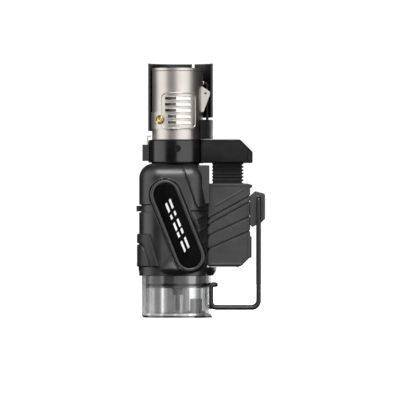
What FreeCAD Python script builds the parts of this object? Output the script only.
import FreeCAD, Part
import math
import os
import re
import Sketcher

# A refillable pocket butane torch with a clear fuel tank, a piezo thumb button and a wire stand.
# Millimetres, +Z up.  The origin is the middle of the tank's flat base, on the burner's axis.
# The thumb button and the wire stand are on the +X side; -Y is the side with the vent plate.

os.makedirs("parts", exist_ok=True)
doc = FreeCAD.newDocument("butane_torch")
sheet = doc.addObject("Spreadsheet::Sheet", "Sizes")
vector = FreeCAD.Vector

# Driving dimensions: each one is written here once, and everything else is worked out from them.
DRIVING = {
    # clearances
    "running_fit": 0.1,
    "moving_gap": 0.3,
    # fuel tank and its lid
    "tank_radius": 20.25,
    "tank_top": 24,
    "tank_wall": 2,
    "tank_floor": 2.5,
    "tank_edge": 0.8,
    "lid_plug_depth": 7,
    "lid_flange_radius": 18,
    "lid_flange_depth": 2,
    "lid_seal_section": 0.8,
    # refill valve in the tank's floor
    "refill_offset": 10.5,
    "refill_radius": 3.5,
    "refill_recess": 0.8,
    "refill_length": 10,
    "refill_bore": 1.7,
    "refill_port": 1.15,
    "refill_seal_depth": 0.8,
    "refill_travel": 1.2,
    # main valve tower
    "valve_bottom": 13,
    "valve_radius": 4.5,
    "valve_neck": 4,
    "valve_top": 68,
    "valve_shoulder": 59.5,
    "dip_tube_radius": 1.2,
    "dip_tube_bottom": 4,
    "stem_bore": 2.2,
    "stem_rod": 1.4,
    "stem_head": 2.6,
    "stem_lift": 1.7,
    "regulator_depth": 3.2,
    "regulator_radius": 5.6,
    "lever_ring_radius": 7.5,
    "lever_nub_reach": 23.4,
    "lever_nub_width": 4,
    # rocker that turns the button's push into the stem's lift
    "rocker_level": 70,
    "rocker_pivot": 4.6,
    "rocker_thickness": 1.6,
    "rocker_width": 5,
    "rocker_reach": 21.3,
    "rocker_hub": 1.8,
    "rocker_pin_radius": 0.8,
    # body shells
    "body_left": 21.8,
    "body_right": 17.1,
    "body_half_depth": 20.3,
    "body_top": 88,
    "body_wall": 2,
    "body_left_round": 13,
    "body_right_round": 10,
    "body_top_round": 8.5,
    "foot_radius": 22.3,
    "foot_height": 4.8,
    "neck_hole": 12,
    "grip_thickness": 1.6,
    "badge_top_x": -6.9,
    "badge_top_z": 70,
    "badge_low_x": 7,
    "badge_low_z": 35.1,
    "badge_radius": 6.5,
    "badge_rim_radius": 8.7,
    "badge_seat_radius": 9.5,
    "badge_depth": 1.4,
    # side housing, piezo igniter and thumb button
    "housing_right": 41.4,
    "housing_low": 29.1,
    "housing_top": 76.5,
    "housing_half_depth": 10,
    "housing_wall": 2,
    "button_left": 13.4,
    "button_right": 42.8,
    "button_low": 88.2,
    "button_top": 101.6,
    "button_half_depth": 12,
    "button_chamfer": 7.1,
    "button_travel": 5.5,
    "stem_left": 19.7,
    "stem_right": 37.7,
    "stem_half_depth": 7,
    "rib_pitch": 1.9,
    "rib_depth": 0.8,
    "piezo_middle": 29,
    "piezo_half": 5,
    "piezo_low": 36,
    "piezo_top": 63,
    "plunger_half": 2.8,
    "guide_left": 11.1,
    "guide_right": 18.3,
    "guide_top": 87,
    "guide_wall": 3,
    # neck, burner and heat guard
    "ring_radius": 16.7,
    "ring_wall": 1.8,
    "ring_top": 101.4,
    "ring_lug_reach": 20,
    "ring_screw_radius": 2,
    "ring_screw_level": 96.4,
    "burner_radius": 14.5,
    "burner_wall": 0.6,
    "burner_low": 101.6,
    "burner_top": 142.3,
    "jet_top": 108,
    "holder_level": 129.5,
    "holder_thickness": 1.5,
    "venturi_radius": 4.2,
    "vent_low": 109.5,
    "vent_high": 126.5,
    "vent_left": -7,
    "vent_right": 7.5,
    "vent_pitch": 3.43,
    "vent_slot": 1.55,
    "plate_thickness": 0.7,
    "vent_screw_head": 2.6,
    "vent_screw_shank": 1,
    "guard_radius": 18.5,
    "guard_wall": 1.1,
    "guard_shift": 1.75,
    "guard_top": 145,
    "guard_low_left": 106.5,
    "guard_low_right": 114.2,
    "cover_radius": 20.3,
    "cover_left": 13.1,
    "cover_top": 112.8,
    "lead_radius": 0.75,
    "lead_outer_x": 17,
    "lead_y": 4.2,
    "electrode_level": 134,
    "ear_thickness": 0.8,
    # wire stand and its boss
    "boss_right": 49.9,
    "boss_low": 51.7,
    "boss_top": 72.1,
    "boss_half_depth": 10,
    "wire_radius": 1.25,
    "wire_half_width": 12,
    "wire_x": 46.3,
    "wire_pivot_level": 68,
    "wire_low": 5.8,
    "wire_hook_top": 18.8,
    # screws that hold the two shells and the two halves of the side housing
    "screw_shank": 1.2,
    "screw_head": 2.3,
    "screw_post": 3.2,
}

for row, (alias, number) in enumerate(DRIVING.items(), start=1):
    sheet.set("A%d" % row, alias)
    sheet.set("B%d" % row, str(number))
    sheet.setAlias("B%d" % row, alias)
doc.recompute()


def bound(text):
    """Put the sheet's name before each driving dimension in an expression."""
    return re.sub(r"[a-z_]+", lambda word: "Sizes." + word[0] if word[0] in DRIVING else word[0], text)


def number(text):
    """The value of an expression, for the shapes that are built in code."""
    return float(sheet.evalExpression(bound(text)))


def origin_plane(body, role):
    return next(item for item in body.Origin.OriginFeatures if item.Role == role)


def outline(body, role, corners):
    """A closed sketch of straight lines: each corner is a pair of expressions."""
    sketch = body.newObject("Sketcher::SketchObject", body.Name + "_outline")
    sketch.AttachmentSupport = [(origin_plane(body, role), "")]
    sketch.MapMode = "FlatFace"
    places = [vector(number(across), number(up), 0) for across, up in corners]
    for index, place in enumerate(places):
        sketch.addGeometry(Part.LineSegment(place, places[(index + 1) % len(places)]), False)
    for index in range(len(places)):
        following = (index + 1) % len(places)
        sketch.addConstraint(Sketcher.Constraint("Coincident", index, 2, following, 1))
    for index, (across, up) in enumerate(corners):
        for kind, place, text in (("DistanceX", places[index].x, across), ("DistanceY", places[index].y, up)):
            dimension = sketch.addConstraint(Sketcher.Constraint(kind, -1, 1, index, 1, place))
            sketch.setExpression("Constraints[%d]" % dimension, bound(text))
    return sketch


def turned(name, corners, x="0"):
    """A piece turned about a vertical axis from corners of (radius, height)."""
    body = doc.addObject("PartDesign::Body", name)
    turn = body.newObject("PartDesign::Revolution", name + "_turn")
    turn.Profile = outline(body, "XZ_Plane", corners)
    turn.ReferenceAxis = (turn.Profile[0], ["V_Axis"])
    turn.Angle = 360
    body.Tip = turn
    body.setExpression("Placement.Base.x", bound(x))
    return body


def side_plate(name, corners, near, far):
    """A plate with a side outline of (x, z) corners, from y = near to y = far."""
    body = doc.addObject("PartDesign::Body", name)
    pad = body.newObject("PartDesign::Pad", name + "_pad")
    pad.Profile = outline(body, "XZ_Plane", corners)
    pad.setExpression("Length", bound("(%s) - (%s)" % (far, near)))
    pad.Reversed = True
    body.Tip = pad
    body.setExpression("Placement.Base.y", bound(near))
    return body


def plan_plate(name, corners, low, high):
    """A plate with a plan outline of (x, y) corners, from z = low to z = high."""
    body = doc.addObject("PartDesign::Body", name)
    pad = body.newObject("PartDesign::Pad", name + "_pad")
    pad.Profile = outline(body, "XY_Plane", corners)
    pad.setExpression("Length", bound("(%s) - (%s)" % (high, low)))
    body.Tip = pad
    body.setExpression("Placement.Base.z", bound(low))
    return body


def round_edges(body, radius, chosen):
    """Fillet the edges of a body's tip that a test picks out."""
    doc.recompute()
    shape = body.Tip.Shape
    names = ["Edge%d" % (place + 1) for place, edge in enumerate(shape.Edges) if chosen(edge)]
    base = body.Tip
    fillet = body.newObject("PartDesign::Fillet", body.Name + "_round")
    fillet.Base = (base, names)
    fillet.setExpression("Radius", bound(radius))
    body.Tip = fillet
    return body


def upright(edge):
    """True for a straight vertical edge."""
    ends = edge.Vertexes
    return len(ends) == 2 and math.hypot(ends[0].X - ends[1].X, ends[0].Y - ends[1].Y) < 0.001


def box(name, xs, ys, zs):
    """A block between pairs of expressions along each axis."""
    block = doc.addObject("Part::Box", name)
    for (low, high), length, axis in zip((xs, ys, zs), ("Length", "Width", "Height"), "xyz"):
        block.setExpression(length, bound("(%s) - (%s)" % (high, low)))
        block.setExpression("Placement.Base." + axis, bound(low))
    return block


AXIS_TURNS = {
    "z": FreeCAD.Rotation(),
    "y": FreeCAD.Rotation(vector(1, 0, 0), -90),
    "x": FreeCAD.Rotation(vector(0, 1, 0), 90),
}


def rod(name, radius, start, length, axis="z"):
    """A round bar from a start point along an axis."""
    bar = doc.addObject("Part::Cylinder", name)
    bar.Placement = FreeCAD.Placement(vector(), AXIS_TURNS[axis])
    bar.setExpression("Radius", bound(radius))
    bar.setExpression("Height", bound(length))
    for text, direction in zip(start, "xyz"):
        bar.setExpression("Placement.Base." + direction, bound(text))
    return bar


def radial_rod(name, radius, start, length, level, degrees):
    """A bar that points away from the burner's axis, turned from -Y towards -X."""
    bar = doc.addObject("Part::Cylinder", name)
    away = vector(-math.sin(math.radians(degrees)), -math.cos(math.radians(degrees)), 0)
    bar.Placement = FreeCAD.Placement(away * number(start), FreeCAD.Rotation(vector(0, 0, 1), away))
    bar.setExpression("Radius", bound(radius))
    bar.setExpression("Height", bound(length))
    bar.setExpression("Placement.Base.x", bound("(%s) * %.9f" % (start, away.x)))
    bar.setExpression("Placement.Base.y", bound("(%s) * %.9f" % (start, away.y)))
    bar.setExpression("Placement.Base.z", bound(level))
    return bar


def joined(name, pieces):
    union = doc.addObject("Part::MultiFuse", name)
    union.Shapes = pieces
    return union


def cut(name, base, tools):
    """The base less one tool or several."""
    less = doc.addObject("Part::Cut", name)
    less.Base = base
    less.Tool = tools[0] if len(tools) == 1 else joined(name + "_tools", tools)
    return less


def common(name, pieces):
    shared = doc.addObject("Part::MultiCommon", name)
    shared.Shapes = pieces
    return shared


def coil(name, radius, wire, low, high, turns, x="0"):
    """A coil spring with a vertical axis; low and high are the ends of its wire."""
    pitch = (number(high) - number(low) - 2 * wire) / turns
    helix = Part.makeHelix(pitch, pitch * turns, radius)
    section = Part.Wire([Part.makeCircle(wire, vector(radius, 0, 0), vector(0, 1, 0))])
    spring = doc.addObject("Part::Feature", name)
    spring.Shape = Part.Wire(helix.Edges).makePipeShell([section], True, True)
    spring.Placement = FreeCAD.Placement(vector(number(x), 0, number(low) + wire), FreeCAD.Rotation())
    return spring


def bent_bar(name, route, radius, bends):
    """A round bar along straight runs joined by tangent arcs, one bend radius for each inner corner."""
    corners = [vector(*[number(text) for text in place]) for place in route]
    edges = []
    start = corners[0]
    for before, corner, after, bend in zip(corners, corners[1:], corners[2:], bends):
        arriving = (corner - before).normalize()
        leaving = (after - corner).normalize()
        half_turn = arriving.getAngle(leaving) / 2
        setback = bend * math.tan(half_turn)
        first = corner - arriving * setback
        last = corner + leaving * setback
        inward = (leaving - arriving).normalize()
        middle = corner + inward * (bend / math.cos(half_turn) - bend)
        edges.append(Part.LineSegment(start, first).toShape())
        edges.append(Part.Arc(first, middle, last).toShape())
        start = last
    edges.append(Part.LineSegment(start, corners[-1]).toShape())
    heading = corners[1] - corners[0]
    section = Part.Wire([Part.makeCircle(number(radius), corners[0], heading)])
    bar = doc.addObject("Part::Feature", name)
    bar.Shape = Part.Wire(edges).makePipeShell([section], True, True)
    return bar


NODES = {}


def keep(name, piece):
    """Hand a finished piece over as a node of its own."""
    piece.Label = name
    NODES[name] = piece


# ---- Fuel tank: a clear cup, its lid, the seal between them and the refill valve ----

cup = turned("cup", [
    ("0", "0"),
    ("tank_radius - tank_edge", "0"),
    ("tank_radius", "tank_edge"),
    ("tank_radius", "tank_top"),
    ("tank_radius - tank_wall", "tank_top"),
    ("tank_radius - tank_wall", "tank_floor"),
    ("0", "tank_floor"),
])
REFILL_MIDDLE = ("refill_offset", "0")
refill_hole = rod("refill_hole", "refill_radius", REFILL_MIDDLE + ("-1",), "tank_floor + 2")
keep("fuel_tank", cut("fuel_tank_cut", cup, [refill_hole]))

LID_LOW = "(tank_top - lid_plug_depth)"
PLUG = "(tank_radius - tank_wall - running_fit)"
GROOVE = "(tank_radius - tank_wall - 2 * lid_seal_section)"
keep("tank_lid", turned("lid", [
    ("valve_radius", LID_LOW),
    (PLUG, LID_LOW),
    (PLUG, LID_LOW + " + 1"),
    (GROOVE, LID_LOW + " + 1"),
    (GROOVE, LID_LOW + " + 1 + 2 * lid_seal_section"),
    (PLUG, LID_LOW + " + 1 + 2 * lid_seal_section"),
    (PLUG, "tank_top"),
    ("lid_flange_radius", "tank_top"),
    ("lid_flange_radius", "tank_top + lid_flange_depth"),
    ("valve_radius", "tank_top + lid_flange_depth"),
]))

lid_seal = doc.addObject("Part::Torus", "lid_seal_ring")
lid_seal.setExpression("Radius1", bound(GROOVE + " + lid_seal_section"))
lid_seal.setExpression("Radius2", bound("lid_seal_section"))
lid_seal.setExpression("Placement.Base.z", bound(LID_LOW + " + 1 + lid_seal_section"))
keep("lid_seal", lid_seal)

REFILL_SEAT = "(refill_recess + refill_seal_depth)"
REFILL_TOP = "(refill_recess + refill_length)"
keep("refill_valve_body", turned("refill_body", [
    ("refill_port", REFILL_SEAT),
    ("refill_radius - 1", REFILL_SEAT),
    ("refill_radius - 1", "refill_recess"),
    ("refill_radius", "refill_recess"),
    ("refill_radius", "tank_floor"),
    ("refill_radius + 1.5", "tank_floor"),
    ("refill_radius + 1.5", "tank_floor + 1.5"),
    ("refill_radius", "tank_floor + 1.5"),
    ("refill_radius", REFILL_TOP),
    ("refill_port", REFILL_TOP),
    ("refill_port", REFILL_TOP + " - 1.4"),
    ("refill_bore", REFILL_TOP + " - 1.4"),
    ("refill_bore", REFILL_SEAT + " + 1.2"),
    ("refill_port", REFILL_SEAT + " + 1.2"),
], "refill_offset"))
keep("refill_seal", turned("refill_washer", [
    ("refill_port", "refill_recess"),
    ("refill_radius - 1", "refill_recess"),
    ("refill_radius - 1", REFILL_SEAT),
    ("refill_port", REFILL_SEAT),
], "refill_offset"))
REFILL_COLLAR = "(" + REFILL_SEAT + " + 1.3)"
keep("refill_valve_stem", turned("refill_pin", [
    ("0", "refill_recess + 0.2"),
    ("refill_port - running_fit", "refill_recess + 0.2"),
    ("refill_port - running_fit", REFILL_COLLAR),
    ("refill_bore - running_fit", REFILL_COLLAR),
    ("refill_bore - running_fit", REFILL_COLLAR + " + 1"),
    ("refill_port - 0.35", REFILL_COLLAR + " + 1"),
    ("refill_port - 0.35", REFILL_COLLAR + " + 3"),
    ("0", REFILL_COLLAR + " + 3"),
], "refill_offset"))
keep("refill_valve_spring", coil(
    "refill_spring", 1.32, 0.18, REFILL_COLLAR + " + 1.02", REFILL_TOP + " - 1.42", 5, "refill_offset"))

# ---- Main valve: a brass tower on the tank's axis, with the flame regulator round its neck ----

TOWER_STEP = "(valve_shoulder - 3.5)"
tower = turned("tower", [
    ("dip_tube_radius", "valve_bottom"),
    ("valve_radius - 1.5", "valve_bottom"),
    ("valve_radius - 1.5", "valve_bottom + 3"),
    ("valve_radius", "valve_bottom + 5"),
    ("valve_radius", TOWER_STEP),
    ("valve_radius + 1.5", TOWER_STEP),
    ("valve_radius + 1.5", "valve_shoulder"),
    ("valve_neck", "valve_shoulder"),
    ("valve_neck", "valve_top"),
    ("stem_bore", "valve_top"),
    ("stem_bore", "valve_shoulder - 1"),
    ("dip_tube_radius", "valve_shoulder - 1"),
])
keep("main_valve_body", tower)
keep("dip_tube", turned("pickup_tube", [
    ("dip_tube_radius - 0.5", "dip_tube_bottom"),
    ("dip_tube_radius", "dip_tube_bottom"),
    ("dip_tube_radius", "valve_bottom + 6"),
    ("dip_tube_radius - 0.5", "valve_bottom + 6"),
]))
keep("valve_stem", turned("gas_stem", [
    ("0.4", "valve_shoulder"),
    ("stem_bore - running_fit", "valve_shoulder"),
    ("stem_bore - running_fit", "valve_shoulder + 1.8"),
    ("stem_rod", "valve_shoulder + 1.8"),
    ("stem_rod", "rocker_level + rocker_thickness / 2 + moving_gap"),
    ("stem_head", "rocker_level + rocker_thickness / 2 + moving_gap"),
    ("stem_head", "rocker_level + rocker_thickness / 2 + moving_gap + 1.4"),
    ("stem_rod", "rocker_level + rocker_thickness / 2 + moving_gap + 1.4"),
    ("stem_rod", "rocker_level + 6"),
    ("0.4", "rocker_level + 6"),
]))
keep("valve_spring", coil("stem_spring", 1.8, 0.16, "valve_shoulder + 1.82", "valve_top - 1.52", 6))
keep("valve_cap", turned("gland_nut", [
    ("stem_rod + running_fit", "valve_top - 1.5"),
    ("stem_bore", "valve_top - 1.5"),
    ("stem_bore", "valve_top"),
    ("stem_rod + running_fit", "valve_top"),
]))

REGULATOR_LOW = "(valve_shoulder + 1.1)"
REGULATOR_HIGH = "(" + REGULATOR_LOW + " + regulator_depth)"
keep("regulator_wheel", turned("regulator", [
    ("valve_neck + running_fit", REGULATOR_LOW),
    ("regulator_radius", REGULATOR_LOW),
    ("regulator_radius", REGULATOR_HIGH),
    ("valve_neck + running_fit", REGULATOR_HIGH),
]))
lever_ring = turned("lever_ring", [
    ("regulator_radius", REGULATOR_LOW),
    ("lever_ring_radius", REGULATOR_LOW),
    ("lever_ring_radius", REGULATOR_HIGH),
    ("regulator_radius", REGULATOR_HIGH),
])
lever_arm = box(
    "lever_arm",
    ("-lever_nub_reach", "-regulator_radius - 0.5"),
    ("-lever_nub_width / 2", "lever_nub_width / 2"),
    (REGULATOR_LOW, REGULATOR_HIGH))
keep("flame_lever", joined("flame_lever_solid", [lever_ring, lever_arm]))

# ---- Rocker: the button's stem pushes its outer end down and its fork lifts the valve stem ----

ROCKER_LOW = "(rocker_level - rocker_thickness / 2)"
ROCKER_HIGH = "(rocker_level + rocker_thickness / 2)"
ROCKER_SIDE = "rocker_width / 2"
beam = box("beam", ("-0.3", "rocker_reach"), ("-" + ROCKER_SIDE, ROCKER_SIDE), (ROCKER_LOW, ROCKER_HIGH))
HUB_START = ("rocker_pivot", "-" + ROCKER_SIDE, "rocker_level")
hub = rod("hub", "rocker_hub", HUB_START, "rocker_width", "y")
fork = box(
    "fork", ("-1", "1.9"), ("-stem_rod - 0.15", "stem_rod + 0.15"),
    (ROCKER_LOW + " - 1", ROCKER_HIGH + " + 1"))
PIN_HALF = "(rocker_width / 2 + 2)"
pin_hole = rod(
    "pin_hole", "rocker_pin_radius + running_fit / 2", ("rocker_pivot", "-" + PIN_HALF, "rocker_level"),
    "2 * " + PIN_HALF, "y")
keep("valve_rocker", cut("rocker_cut", joined("rocker_blank", [beam, hub]), [fork, pin_hole]))

PIN_START = ("rocker_pivot", "-" + PIN_HALF, "rocker_level")
keep("rocker_pin", rod("pivot_pin", "rocker_pin_radius", PIN_START, "2 * " + PIN_HALF, "y"))

BRACKET_INNER = "(rocker_width / 2 + 0.7)"
BRACKET_FOOT = "(" + REGULATOR_HIGH + " + 0.6)"
bracket_foot = box(
    "bracket_foot", ("-valve_neck - 1.5", "rocker_pivot + 2"),
    ("-" + PIN_HALF, PIN_HALF), (BRACKET_FOOT, BRACKET_FOOT + " + 1"))
cheeks = [
    box(
        "cheek_%d" % side, ("rocker_pivot - 2", "rocker_pivot + 2"),
        (inner, outer), (BRACKET_FOOT, "rocker_level + 2"))
    for side, (inner, outer) in enumerate((("-" + PIN_HALF, "-" + BRACKET_INNER), (BRACKET_INNER, PIN_HALF)))]
bracket_hole = rod("bracket_hole", "valve_neck", ("0", "0", "valve_shoulder"), "10")
pin_seat = rod("pin_seat", "rocker_pin_radius", PIN_START, "2 * " + PIN_HALF, "y")
keep("rocker_bracket", cut(
    "bracket_cut", joined("bracket_blank", [bracket_foot] + cheeks), [bracket_hole, pin_seat]))

# ---- Body: two hollow shells that meet on the middle plane ----

FOOT_TOP = "(tank_top + foot_height)"


def body_block(name, inset, low, high, top_round):
    """The body's rounded block, shrunk on every side by an inset."""
    block = plan_plate(name, [
        ("-body_left + %s" % inset, "-body_half_depth + %s" % inset),
        ("body_right - %s" % inset, "-body_half_depth + %s" % inset),
        ("body_right - %s" % inset, "body_half_depth - %s" % inset),
        ("-body_left + %s" % inset, "body_half_depth - %s" % inset),
    ], low, high)
    round_edges(block, "body_left_round - %s" % inset, lambda edge: upright(edge) and edge.Vertexes[0].X < 0)
    round_edges(block, "body_right_round - %s" % inset, lambda edge: upright(edge) and edge.BoundBox.XMin > 0)
    height = number("(%s) - (%s)" % (high, low))
    round_edges(block, top_round, lambda edge: edge.BoundBox.ZMin > height - 0.01)
    return block


outer_block = body_block("outer_block", "0", "tank_top", "body_top", "body_top_round")
foot = turned("foot", [
    ("0", "tank_top"),
    ("tank_radius + 0.15", "tank_top"),
    ("foot_radius", FOOT_TOP + " - 0.8"),
    ("foot_radius", FOOT_TOP),
    ("0", FOOT_TOP),
])
SLANT_X = number("badge_low_x - badge_top_x")
SLANT_Z = number("badge_low_z - badge_top_z")
BADGE_LENGTH = math.hypot(SLANT_X, SLANT_Z)
BADGE_LEAN = math.degrees(math.atan2(SLANT_X, -SLANT_Z))


def badge_prism(name, radius, near, far):
    """A stadium-shaped bar along Y on the badge's slanting centre line."""
    ends = [
        rod(name + "_top", radius, ("badge_top_x", near, "badge_top_z"), "(%s) - (%s)" % (far, near), "y"),
        rod(name + "_low", radius, ("badge_low_x", near, "badge_low_z"), "(%s) - (%s)" % (far, near), "y"),
    ]
    middle = doc.addObject("Part::Box", name + "_middle")
    lean = FreeCAD.Rotation(vector(0, 1, 0), -BADGE_LEAN)
    middle.Placement = FreeCAD.Placement(vector(), lean)
    middle.setExpression("Length", bound("2 * " + radius))
    middle.setExpression("Width", bound("(%s) - (%s)" % (far, near)))
    middle.setExpression(
        "Height", bound("sqrt((badge_low_x - badge_top_x)^2 + (badge_low_z - badge_top_z)^2)"))
    corner = lean.multVec(vector(-1, 0, 0))
    middle.setExpression("Placement.Base.x", bound("badge_low_x + %s * %.9f" % (radius, corner.x)))
    middle.setExpression("Placement.Base.y", bound(near))
    middle.setExpression("Placement.Base.z", bound("badge_low_z + %s * %.9f" % (radius, corner.z)))
    return joined(name, ends + [middle])


SIDES = {"front": ("-30", "0"), "rear": ("0", "30")}


def facing(side, inner, outer):
    """Turn two distances from the middle plane into a (near, far) pair on one side of the body."""
    if side == "front":
        return "-(%s)" % outer, "-(%s)" % inner
    return inner, outer


POSTS = {"top_left": ("-14.5", "80.2"), "low_left": ("-13", "36"), "low_right": ("10", "33")}
HOUSING_POSTS = {"outer": ("38.2", "44"), "inner": ("21.5", "33.5")}
SHANK_END = "-(body_half_depth - 8)"
HEAD_SEAT = "(body_half_depth - 4.5)"

seats = [
    badge_prism(
        "badge_seat_" + side, "badge_seat_radius",
        *facing(side, "body_half_depth - 3", "body_half_depth + 0.5"))
    for side in SIDES]
guides = [
    box(
        "guide_" + side, ("guide_left", "guide_right"),
        facing(side, "button_half_depth + moving_gap", "button_half_depth + moving_gap + guide_wall"),
        ("housing_top - 12", "guide_top"))
    for side in SIDES]
solid_body = joined("solid_body", [outer_block, foot] + seats + guides)

cavity = body_block("cavity", "body_wall", "tank_top", "body_top - body_wall", "body_top_round / 2")
foot_cavity = rod(
    "foot_cavity", "lid_flange_radius + running_fit", ("0", "0", "tank_top - 1"), "lid_flange_depth + 1.5")
posts = [rod("post_" + name, "screw_post", (x, "-40", z), "80", "y") for name, (x, z) in POSTS.items()]
# The button's cheeks sink into a notch at the top right; the cavity keeps a wall round it.
NOTCH_LEFT = "(button_left - moving_gap)"
NOTCH_LOW = "(button_low - button_travel - moving_gap)"
notch_wall = box(
    "notch_wall", (NOTCH_LEFT + " - body_wall", "body_right + 1"), ("-30", "30"),
    (NOTCH_LOW + " - body_wall", "body_top"))
NOTCH_SIDE = "(button_half_depth + moving_gap)"
button_notch = box(
    "button_notch", (NOTCH_LEFT, "body_right + 1.2"), ("-" + NOTCH_SIDE, NOTCH_SIDE),
    (NOTCH_LOW, "body_top + 1"))
hollow = cut("hollow", joined("whole_cavity", [cavity, foot_cavity]), posts + [notch_wall])
neck_opening = rod("neck_opening", "neck_hole", ("0", "0", "body_top - 5"), "10")
lever_slot = box(
    "lever_slot", ("-body_left - 3", "-body_left + body_wall + 5.2"), ("-10.5", "10.5"),
    (REGULATOR_LOW + " - moving_gap", REGULATOR_HIGH + " + moving_gap"))
WINDOW = {"low": "rocker_level - 10.5", "high": "rocker_level + 3", "half": "stem_half_depth + 0.6"}
rocker_window = box(
    "rocker_window", ("body_right - body_wall - 1", "body_right + 1"),
    ("-(%s)" % WINDOW["half"], WINDOW["half"]), (WINDOW["low"], WINDOW["high"]))
shank_holes = [
    rod("shank_hole_" + name, "screw_shank", (x, SHANK_END, z), "60", "y") for name, (x, z) in POSTS.items()]
head_holes = [
    rod("head_hole_" + name, "screw_head + running_fit", (x, HEAD_SEAT, z), "30", "y")
    for name, (x, z) in POSTS.items()]
badge_pockets = [
    badge_prism(
        "badge_pocket_" + side, "badge_rim_radius",
        *facing(side, "body_half_depth + 0.5 - badge_depth", "body_half_depth + 5"))
    for side in SIDES]
whole_body = cut(
    "whole_body", solid_body,
    [hollow, neck_opening, button_notch, lever_slot, rocker_window]
    + shank_holes + head_holes + badge_pockets)
for side, depths in SIDES.items():
    half = box(side + "_half", ("-40", "60"), depths, ("0", "150"))
    keep(side + "_shell", common(side + "_shell_half", [whole_body, half]))

BADGE_FLOOR = "body_half_depth + 0.5 - badge_depth"
for side in SIDES:
    rim = badge_prism(side + "_rim", "badge_rim_radius", *facing(side, BADGE_FLOOR, "body_half_depth + 1.2"))
    rim_hole = badge_prism(
        side + "_rim_hole", "badge_radius", *facing(side, "body_half_depth - 4", "body_half_depth + 4"))
    keep(side + "_badge_rim", cut(side + "_rim_cut", rim, [rim_hole]))
    keep(side + "_badge", badge_prism(
        side + "_badge_plate", "badge_radius", *facing(side, BADGE_FLOOR, "body_half_depth + 0.8")))

SCREW_HEAD_DEPTH = 1.8
screws = []
for name, (x, z) in POSTS.items():
    reach = HEAD_SEAT + " - " + SHANK_END
    screws.append(rod("screw_shank_" + name, "screw_shank", (x, SHANK_END, z), reach, "y"))
    screws.append(rod("screw_head_" + name, "screw_head", (x, HEAD_SEAT, z), str(SCREW_HEAD_DEPTH), "y"))
keep("shell_screws", joined("shell_screw_set", screws))

# Rubber grip pad wrapped round the lower left of both shells.
grip_block = body_block("grip_block", "-1 * grip_thickness", FOOT_TOP + " + 0.1", "48", "1.2")
grip_outline = side_plate("grip_outline", [
    ("-30", "20"),
    ("-6", "20"),
    ("-15", "46.3"),
    ("-17.5", "50"),
    ("-30", "50"),
], "-30", "30")
grip_inner = body_block("grip_inner", "0", "tank_top", "body_top", "body_top_round")
keep("grip_pad", cut("grip_cut", common("grip_blank", [grip_block, grip_outline]), [grip_inner]))

# ---- Side housing: two halves round the piezo igniter ----

HOUSING_OUTLINE = [
    ("body_right", "housing_low"),
    ("housing_right - 5.5", "housing_low"),
    ("housing_right", "housing_low + 5.5"),
    ("housing_right", "housing_top"),
    ("body_right", "housing_top"),
]
housing_block = side_plate("housing_block", HOUSING_OUTLINE, "-housing_half_depth", "housing_half_depth")
round_edges(
    housing_block, "1.2",
    lambda edge: not upright(edge) and abs(edge.BoundBox.YMax - edge.BoundBox.YMin) < 0.01
    and edge.BoundBox.XMax > number("body_right") + 0.5)
housing_cavity = side_plate("housing_cavity", [
    ("body_right + housing_wall", "housing_low + housing_wall"),
    ("housing_right - 6.4", "housing_low + housing_wall"),
    ("housing_right - housing_wall", "housing_low + 6.4"),
    ("housing_right - housing_wall", "housing_top - housing_wall"),
    ("body_right + housing_wall", "housing_top - housing_wall"),
], "-housing_half_depth + housing_wall", "housing_half_depth - housing_wall")
housing_posts = [
    rod("housing_post_" + name, "screw_post - 1", (x, "-30", z), "60", "y")
    for name, (x, z) in HOUSING_POSTS.items()]
housing_hollow = cut("housing_hollow", housing_cavity, housing_posts)
STEM_SIDE = "stem_half_depth + moving_gap"
stem_opening = box(
    "stem_opening", ("stem_left - moving_gap", "stem_right + moving_gap"),
    ("-(%s)" % STEM_SIDE, STEM_SIDE), ("housing_top - housing_wall - 1", "housing_top + 1"))
housing_window = box(
    "housing_window", ("body_right - 1", "body_right + housing_wall + 1"),
    ("-(%s)" % WINDOW["half"], WINDOW["half"]), (WINDOW["low"], WINDOW["high"]))
HOUSING_HEAD_SEAT = "(housing_half_depth - 1.6)"
HOUSING_SHANK_END = "-(housing_half_depth - 3)"
housing_shanks = [
    rod("housing_shank_" + name, "screw_shank", (x, HOUSING_SHANK_END, z), "30", "y")
    for name, (x, z) in HOUSING_POSTS.items()]
housing_heads = [
    rod("housing_head_" + name, "screw_head - 0.4", (x, HOUSING_HEAD_SEAT, z), "30", "y")
    for name, (x, z) in HOUSING_POSTS.items()]

# Four slanting grooves, each a shallow channel across both flat faces.
GROOVE_DEPTH = "0.7"
GROOVES = [("56.9", "70.1"), ("53.3", "66.9"), ("47.2", "58.4"), ("39.6", "50.2")]
grooves = []
for place, (left_level, right_level) in enumerate(GROOVES):
    channel = [
        ("body_right - 1", left_level),
        ("housing_right + 1", right_level),
        ("housing_right + 1", right_level + " - 1.1"),
        ("body_right - 1", left_level + " - 1.1"),
    ]
    for side in SIDES:
        grooves.append(side_plate(
            "groove_%d_%s" % (place, side), channel,
            *facing(side, "housing_half_depth - " + GROOVE_DEPTH, "housing_half_depth + 2")))
whole_housing = cut(
    "whole_housing", housing_block,
    [housing_hollow, stem_opening, housing_window] + housing_shanks + housing_heads + grooves)
for side, depths in SIDES.items():
    half = box("housing_half_" + side, ("0", "60"), depths, ("0", "150"))
    keep("housing_" + side, common("housing_%s_half" % side, [whole_housing, half]))

screws = []
for name, (x, z) in HOUSING_POSTS.items():
    reach = HOUSING_HEAD_SEAT + " - " + HOUSING_SHANK_END
    screws.append(rod("housing_screw_" + name, "screw_shank", (x, HOUSING_SHANK_END, z), reach, "y"))
    head_start = (x, HOUSING_HEAD_SEAT, z)
    screws.append(rod("housing_screw_head_" + name, "screw_head - 0.5", head_start, "1.2", "y"))
keep("housing_screws", joined("housing_screw_set", screws))

# ---- Thumb button and piezo igniter ----

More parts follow.
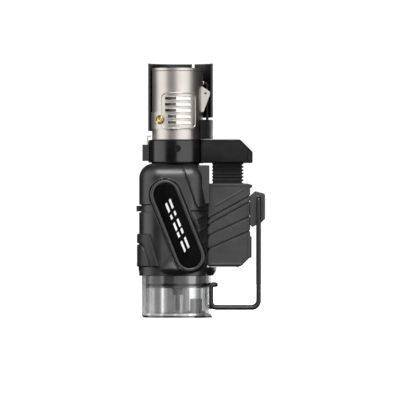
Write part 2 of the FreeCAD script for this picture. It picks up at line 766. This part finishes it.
PUSH_LEVEL = "(" + ROCKER_HIGH + " + moving_gap)"
cap_block = side_plate("cap_block", [
    ("button_left", "button_low"),
    ("button_right", "button_low"),
    ("button_right", "button_top - button_chamfer"),
    ("button_right - button_chamfer", "button_top"),
    ("button_left", "button_top"),
], "-button_half_depth", "button_half_depth")
round_edges(cap_block, "0.8", lambda edge: edge.BoundBox.XMin > number("button_left") + 0.5)
neck_clearance = rod("neck_clearance", "ring_radius + 2 * moving_gap", ("0", "0", "button_low - 1"), "30")
cap_recess = box(
    "cap_recess", ("stem_left", "stem_right - rib_depth"),
    ("-stem_half_depth", "stem_half_depth"), ("button_low - 1", "button_low + 4"))
keep("button_cap", cut("cap_cut", cap_block, [neck_clearance, cap_recess]))

stem_block = box(
    "stem_block", ("stem_left", "stem_right"),
    ("-stem_half_depth", "stem_half_depth"), (PUSH_LEVEL, "button_low"))
stem_tongue = box(
    "stem_tongue", ("stem_left", "stem_right - rib_depth"),
    ("-stem_half_depth", "stem_half_depth"), ("button_low - 1", "button_low + 4"))
rib_gaps = []
for place in range(6):
    level = "housing_top + 0.5 + rib_pitch * %d" % place
    heights = (level, level + " + rib_pitch / 2")
    rib_gaps.append(box(
        "rib_gap_right_%d" % place, ("stem_right - rib_depth", "stem_right + 1"), ("-20", "20"), heights))
    for side in SIDES:
        rib_gaps.append(box(
            "rib_gap_%s_%d" % (side, place), ("stem_left + 1.5", "stem_right + 1"),
            facing(side, "stem_half_depth - rib_depth / 2", "stem_half_depth + 5"), heights))
keep("button_stem", cut("stem_cut", joined("stem_blank", [stem_block, stem_tongue]), rib_gaps))

PIEZO_LEFT = "piezo_middle - piezo_half"
PIEZO_RIGHT = "piezo_middle + piezo_half"
piezo_block = box(
    "piezo_block", (PIEZO_LEFT, PIEZO_RIGHT), ("-piezo_half", "piezo_half"), ("piezo_low", "piezo_top"))
BORE_HALF = "(plunger_half + running_fit)"
piezo_bore = box(
    "piezo_bore", ("piezo_middle - " + BORE_HALF, "piezo_middle + " + BORE_HALF),
    ("-" + BORE_HALF, BORE_HALF), ("piezo_top - button_travel - 6", "piezo_top + 1"))
keep("piezo_unit", cut("piezo_cut", piezo_block, [piezo_bore]))
keep("piezo_plunger", box(
    "plunger", ("piezo_middle - plunger_half", "piezo_middle + plunger_half"),
    ("-plunger_half", "plunger_half"), ("piezo_top - 5", PUSH_LEVEL)))
keep("button_spring", coil(
    "button_coil", 4.5, 0.32, "piezo_top + 0.02", PUSH_LEVEL + " - 0.02", 3.5, "piezo_middle"))
cradle = box(
    "cradle", (PIEZO_LEFT, "housing_right - housing_wall - 2"),
    ("-piezo_half", "piezo_half"), ("piezo_low - 2", "piezo_low"))
keep("piezo_cradle", cradle)

# ---- Neck: burner base, gas hose and jet, and the turning ring ----

NECK_LOW = "(body_top - 4)"
BASE_RADIUS = "(ring_radius - ring_wall - running_fit)"
SPIGOT = "(burner_radius - burner_wall)"
SPIGOT_TOP = "(burner_low + 4)"
base_turn = turned("base_turn", [
    ("3", NECK_LOW),
    ("neck_hole + 1.4", NECK_LOW),
    ("neck_hole + 1.4", "body_top - body_wall - 0.05"),
    ("neck_hole - 0.1", "body_top - body_wall - 0.05"),
    ("neck_hole - 0.1", "body_top"),
    (BASE_RADIUS, "body_top"),
    (BASE_RADIUS, "burner_low"),
    (SPIGOT, "burner_low"),
    (SPIGOT, SPIGOT_TOP),
    (SPIGOT + " - 1.2", SPIGOT_TOP),
    (SPIGOT + " - 1.2", "body_top + 2"),
    ("3", "body_top + 2"),
])
flange_flat = box(
    "flange_flat", (NOTCH_LEFT + " - body_wall - moving_gap", "30"), ("-20", "20"),
    (NECK_LOW + " - 1", "body_top - 0.05"))
LEAD_INNER = "(burner_radius / 2 + 1.75)"
lead_way = rod("lead_way", "lead_radius + running_fit", (LEAD_INNER, "lead_y", NECK_LOW + " - 1"), "10")
keep("burner_base", cut("base_cut", base_turn, [flange_flat, lead_way]))

keep("jet_nozzle", turned("jet", [
    ("0.35", NECK_LOW + " - 3.5"),
    ("stem_rod", NECK_LOW + " - 3.5"),
    ("stem_rod", NECK_LOW),
    ("3", NECK_LOW),
    ("3", "body_top + 2"),
    ("4.2", "body_top + 2"),
    ("4.2", "body_top + 4.5"),
    ("2.6", "body_top + 4.5"),
    ("2.6", "jet_top - 4"),
    ("1", "jet_top"),
    ("0.35", "jet_top"),
]))
keep("gas_hose", turned("hose", [
    ("stem_rod + running_fit / 2", "rocker_level + 4"),
    ("stem_rod + 1", "rocker_level + 4"),
    ("stem_rod + 1", NECK_LOW + " - 0.3"),
    ("stem_rod + running_fit / 2", NECK_LOW + " - 0.3"),
]))

ring_turn = turned("ring_turn", [
    ("ring_radius - ring_wall", "body_top + 0.4"),
    ("ring_radius - 0.5", "body_top + 0.4"),
    ("ring_radius", "body_top + 0.9"),
    ("ring_radius", "ring_top - 0.5"),
    ("ring_radius - 0.5", "ring_top"),
    ("ring_radius - ring_wall", "ring_top"),
])
lug = box(
    "lug", ("-ring_lug_reach", "-ring_radius + 0.6"), ("-3", "3"), ("body_top + 1.4", "body_top + 10.7"))
ring_screw_hole = rod(
    "ring_screw_hole", "ring_screw_radius", ("0", "-ring_radius - 2", "ring_screw_level"), "6", "y")
keep("flame_ring", cut("ring_cut", joined("ring_blank", [ring_turn, lug]), [ring_screw_hole]))
set_screw = rod(
    "set_screw", "ring_screw_radius", ("0", "-ring_radius + 0.5", "ring_screw_level"), "ring_wall - 0.7", "y")
driver_slot = box(
    "driver_slot", ("-0.25", "0.25"), ("-ring_radius - 1", "-ring_radius + 0.9"),
    ("ring_screw_level - 5", "ring_screw_level + 5"))
keep("ring_set_screw", cut("set_screw_cut", set_screw, [driver_slot]))
keep("ring_clip", side_plate("clip", [
    ("-ring_radius - 0.8", "body_top + 10.7"),
    ("-ring_radius", "body_top + 10.7"),
    ("-ring_radius", "ring_top + 1.6"),
    ("-burner_radius - 0.7", "ring_top + 1.6"),
    ("-burner_radius - 0.7", "ring_top + 2.4"),
    ("-ring_radius - 0.8", "ring_top + 2.4"),
], "-2", "2"))

# ---- Burner: steel tube, flame holder, vent plate, electrode and heat guard ----

VENT_SCREW_ANGLE = 39.8
VENT_SCREW_LEVEL = "(vent_low + 3.3)"
LEAD_EXIT = "jet_top"
BACK_WINDOW_LEFT = "-0.8"
tube = turned("tube_turn", [
    (SPIGOT, "burner_low"),
    ("burner_radius", "burner_low"),
    ("burner_radius", "burner_top - 1.8"),
    ("burner_radius + 0.25", "burner_top - 1.5"),
    ("burner_radius + 0.25", "burner_top"),
    (SPIGOT, "burner_top"),
])
front_window = box("front_window", ("vent_left", "vent_right"), ("-20", "0"), ("vent_low", "vent_high"))
back_window = box(
    "back_window", (BACK_WINDOW_LEFT, "vent_right + 0.5"), ("0", "30"), ("vent_low", "vent_high"))
screw_hole = radial_rod("vent_screw_hole", "vent_screw_shank", "10", "8", VENT_SCREW_LEVEL, VENT_SCREW_ANGLE)
lead_exit = rod("lead_exit", "lead_radius + running_fit", ("5", "lead_y", LEAD_EXIT), "12", "x")
insulator_hole = rod("insulator_hole", "1.3", ("5", "lead_y", "electrode_level"), "12", "x")
GUARD_SCREW_X = "-7.5"
GUARD_SCREW_LEVELS = {"low": "vent_low + 1.5", "high": "electrode_level + 2"}
guard_holes = [
    rod("guard_hole_" + name, "vent_screw_shank", (GUARD_SCREW_X, "8", level), "20", "y")
    for name, level in GUARD_SCREW_LEVELS.items()]
keep("burner_tube", cut(
    "tube_cut", tube, [front_window, back_window, screw_hole, lead_exit, insulator_hole] + guard_holes))

holder_turn = turned("holder_turn", [
    ("venturi_radius", "holder_level"),
    (SPIGOT, "holder_level"),
    (SPIGOT, "holder_level + holder_thickness"),
    ("venturi_radius", "holder_level + holder_thickness"),
])
flame_holes = []
for place in range(10):
    turn = 2 * math.pi * place / 10
    flame_holes.append(rod(
        "flame_hole_%d" % place, "1.3",
        ("9 * %.9f" % math.cos(turn), "9 * %.9f" % math.sin(turn), "holder_level - 1"), "4"))
keep("flame_holder", cut("holder_cut", holder_turn, flame_holes))
keep("venturi", turned("venturi_turn", [
    ("venturi_radius - 1", "holder_level - 2.8"),
    ("venturi_radius + 1.2", "holder_level - 2.8"),
    ("venturi_radius", "holder_level - 0.6"),
    ("venturi_radius", "holder_level + 2.5"),
    ("venturi_radius - 1", "holder_level + 2.5"),
]))

PLATE_INNER = "(burner_radius + running_fit)"
PLATE_OUTER = "(burner_radius + running_fit + plate_thickness)"
sleeve = turned("vent_sleeve", [
    (PLATE_INNER, "vent_low - 2.1"),
    (PLATE_OUTER, "vent_low - 2.1"),
    (PLATE_OUTER, "vent_high + 1.7"),
    (PLATE_INNER, "vent_high + 1.7"),
])
panel = box("panel", ("vent_left - 2.4", "vent_right + 3.1"), ("-20", "0"), ("vent_low - 3", "vent_high + 3"))
tab = box("tab", ("-burner_radius - 0.4", "vent_left"), ("-20", "0"), ("vent_low - 3", "vent_low + 7.6"))
slots = []
for place in range(5):
    left = "vent_left" if place > 1 else "vent_left + 1.6"
    level = "vent_low + 0.9 + vent_pitch * %d" % place
    slots.append(box("slot_%d" % place, (left, "vent_right"), ("-20", "0"), (level, level + " + vent_slot")))
for place in range(5):
    slots.append(radial_rod(
        "screw_slot_%d" % place, "vent_screw_shank + 0.1", "12", "6", VENT_SCREW_LEVEL,
        VENT_SCREW_ANGLE + 2.6 * (place - 2)))
plate_area = joined("plate_area", [panel, tab])
keep("vent_plate", cut("plate_cut", common("plate_blank", [sleeve, plate_area]), slots))

HEAD_LOW = PLATE_OUTER + " + running_fit"
vent_shank = radial_rod(
    "vent_shank", "vent_screw_shank", "burner_radius - 2.5", "2.5 + plate_thickness + 2 * running_fit",
    VENT_SCREW_LEVEL, VENT_SCREW_ANGLE)
vent_head = radial_rod("vent_head", "vent_screw_head", HEAD_LOW, "1.2", VENT_SCREW_LEVEL, VENT_SCREW_ANGLE)
keep("vent_screw", joined("vent_screw_solid", [vent_shank, vent_head]))

# The ear is a small upright steel plate welded to the tube's right side.
ear_plate = side_plate("ear_plate", [
    ("burner_radius - 1.5", "electrode_level - 2.1"),
    ("burner_radius - 0.5", "electrode_level - 2.1"),
    ("burner_radius + 4.1", "electrode_level - 5.2"),
    ("burner_radius + 3.9", "electrode_level - 7.2"),
    ("burner_radius + 0.3", "electrode_level - 16.7"),
    ("burner_radius - 1.5", "electrode_level - 16.7"),
], "-4 - ear_thickness", "-4")
tube_space = rod("tube_space", "burner_radius", ("0", "0", "burner_low"), "60")
ear_hole = rod("ear_hole", "0.6", ("burner_radius + 1.5", "-10", "electrode_level - 6.1"), "10", "y")
keep("burner_ear", cut("ear_cut", ear_plate, [tube_space, ear_hole]))

cover_turn = rod(
    "cover_turn", "cover_radius", ("0", "0", "burner_low + 0.35"), "cover_top - burner_low - 0.35")
cover_side = box("cover_side", ("cover_left", "30"), ("-30", "30"), ("90", "130"))
cover_channel = box(
    "cover_channel", ("lead_outer_x - 4", "lead_outer_x + lead_radius + running_fit"),
    ("lead_y - lead_radius - running_fit", "lead_y + lead_radius + running_fit"),
    (LEAD_EXIT + " - lead_radius - running_fit", "cover_top + 1"))
keep("lead_cover", cut(
    "cover_cut", common("cover_blank", [cover_turn, cover_side]), [tube_space, cover_channel]))

keep("ignition_lead", bent_bar("lead", [
    (PIEZO_LEFT, "lead_y", "piezo_top - 2"),
    (LEAD_INNER, "lead_y", "piezo_top - 2"),
    (LEAD_INNER, "lead_y", LEAD_EXIT),
    ("lead_outer_x", "lead_y", LEAD_EXIT),
    ("lead_outer_x", "lead_y", "electrode_level"),
    ("lead_outer_x - 2", "lead_y", "electrode_level"),
], "lead_radius", [5, 3.5, 3.5, 1.6]))
insulator = rod("insulator", "1.3", ("10.5", "lead_y", "electrode_level"), "lead_outer_x - 12.5", "x")
electrode_bore = rod("electrode_bore", "0.5", ("4", "lead_y", "electrode_level"), "12", "x")
keep("electrode_insulator", cut("insulator_cut", insulator, [electrode_bore]))
keep("electrode", rod("electrode_pin", "0.5", ("6", "lead_y", "electrode_level"), "lead_outer_x - 8", "x"))

guard_outer = rod(
    "guard_outer", "guard_radius", ("guard_shift", "0", "guard_low_left"), "guard_top - guard_low_left")
guard_inner = rod("guard_inner", "guard_radius - guard_wall", ("guard_shift", "0", "50"), "120")
guard_front = box("guard_front", ("-40", "40"), ("-40", "-2"), ("50", "160"))
guard_right_low = box("guard_right_low", ("10", "40"), ("-40", "40"), ("50", "guard_low_right"))
guard_window = box(
    "guard_window", (BACK_WINDOW_LEFT, "vent_right + 0.5"), ("0", "40"), ("vent_low", "vent_high"))
guard_slit = box("guard_slit", ("8.3", "9.7"), ("0", "40"), ("burner_top - 1", "guard_top + 1"))
keep("heat_guard", cut(
    "guard_cut", guard_outer,
    [guard_inner, guard_front, guard_right_low, guard_window, guard_slit] + guard_holes))

spacers = []
screws = []
for name, level in GUARD_SCREW_LEVELS.items():
    post = rod("spacer_" + name, "2", (GUARD_SCREW_X, "8", level), "20", "y")
    blank = common("spacer_blank_" + name, [post, guard_inner])
    spacers.append(cut("spacer_cut_" + name, blank, [tube_space] + guard_holes))
    screws.append(rod("guard_shank_" + name, "vent_screw_shank", (GUARD_SCREW_X, "11", level), "6", "y"))
    screws.append(rod("guard_head_" + name, "2", (GUARD_SCREW_X, "17", level), "1.3", "y"))
keep("guard_spacers", joined("guard_spacer_set", spacers))
keep("guard_screws", cut("guard_screw_set", joined("guard_screw_blanks", screws), [guard_inner]))

# ---- Wire stand: a bent wire that hangs from the boss and hooks round the tank ----

boss_block = side_plate("boss_block", [
    ("housing_right", "boss_low + 1.2"),
    ("housing_right + 1.4", "boss_low"),
    ("boss_right - 5.1", "boss_low + 1.2"),
    ("boss_right - 2.2", "boss_low + 2.5"),
    ("boss_right", "boss_low + 4.7"),
    ("boss_right", "boss_top - 2.2"),
    ("boss_right - 0.6", "boss_top - 1.3"),
    ("housing_right + 3", "boss_top"),
    ("housing_right", "boss_top - 2.5"),
], "-boss_half_depth", "boss_half_depth")
pivot_bore = rod(
    "pivot_bore", "wire_radius + running_fit", ("wire_x", "-20", "wire_pivot_level"), "40", "y")
keep("stand_boss", cut("boss_cut", boss_block, [pivot_bore]))

WIRE_HOOK = "(tank_radius - 1.05)"
stand_half = [
    ("wire_x", "-(boss_half_depth - 5)", "wire_pivot_level"),
    ("wire_x", "-wire_half_width", "wire_pivot_level"),
    ("wire_x", "-wire_half_width", "wire_low"),
    (WIRE_HOOK, "-wire_half_width", "wire_low"),
    (WIRE_HOOK, "-wire_half_width", "wire_hook_top"),
    (WIRE_HOOK + " + 2.7", "-wire_half_width", "wire_hook_top"),
]
mirrored = [(x, y[1:], z) for x, y, z in reversed(stand_half)]
BENDS = [1.4, 4, 3, 1.3, 1.3]
keep("wire_stand", bent_bar("stand_wire", stand_half + mirrored, "wire_radius", BENDS + BENDS[::-1]))

# ---- Check every object, then write one file for each node ----

doc.recompute()
for item in doc.Objects:
    if "Invalid" in item.State or "Error" in item.State:
        raise RuntimeError("not built: " + item.Label)
for name, piece in NODES.items():
    if piece.Shape.isNull() or not piece.Shape.isValid():
        raise RuntimeError("not a good solid: " + name)
for name, piece in NODES.items():
    piece.Shape.exportStep("parts/" + name + ".step")
    print(name, len(piece.Shape.Solids), round(piece.Shape.Volume, 1))
print(len(NODES), "nodes")
